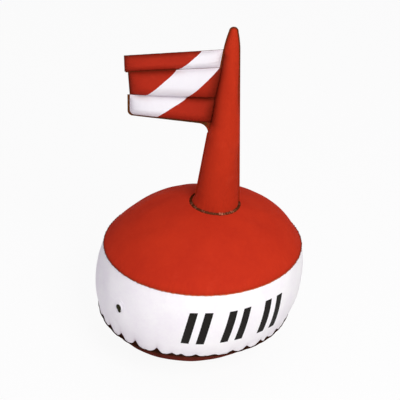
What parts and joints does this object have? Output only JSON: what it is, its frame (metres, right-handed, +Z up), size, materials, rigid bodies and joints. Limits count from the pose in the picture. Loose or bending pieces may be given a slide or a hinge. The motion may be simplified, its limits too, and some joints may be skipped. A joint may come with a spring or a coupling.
{
  "type": "inflatable dive buoy",
  "caption": "Round inflatable surface float with a leaning inflated mast, a puffed diver down flag, a push-in valve and a line ring underneath.",
  "frame": {"origin": "on the floor, under the middle of the float at half the height of its band", "axes": "+Z up; -Y is the front; the flag flies towards -X and the mast leans towards +X"},
  "size_m": [0.4028, 0.4002, 0.6565],
  "materials": {
    "red_vinyl": "supple welded vinyl film with a soft sheen",
    "white_vinyl": "supple welded vinyl film with a soft sheen",
    "weld": "pressed vinyl weld, darker and smoother than the film",
    "clear_vinyl": "milky moulded vinyl",
    "print": "dull screen print",
    "plug": "matt moulded",
    "webbing": "woven webbing",
    "ring_steel": "polished stainless wire"
  },
  "bodies": {
    "buoy": {"top_panel": "red_vinyl", "side_band": "white_vinyl", "bottom_panel": "red_vinyl", "top_seam": "weld", "bottom_seam": "weld", "band_lap_weld": "white_vinyl", "print_marks": "print", "mast": "red_vinyl", "mast_base_ring": "weld", "mast_weld_flange": "weld", "flag_upper_tube": "red_vinyl", "flag_middle_tube": "red_vinyl", "flag_lower_tube": "red_vinyl", "flag_stripe": "white_vinyl", "valve_disc": "clear_vinyl", "valve_stem": "clear_vinyl", "bottom_patch": "red_vinyl", "line_tab": "webbing", "line_loop": "webbing"},
    "plug": {"valve_plug": "plug"},
    "ring": {"line_ring": "ring_steel"}
  },
  "joints": [
    {"name": "plug_pull", "type": "slide", "parent": "buoy", "child": "plug", "axis": [-0.723, -0.6909, 0], "range_m": [0, 0.012]},
    {"name": "ring_swing", "type": "hinge", "parent": "buoy", "child": "ring", "pos_m": [-0.01694, 0, 0.003], "axis": [0, 1, 0], "range_deg": [0, 171]}
  ]
}
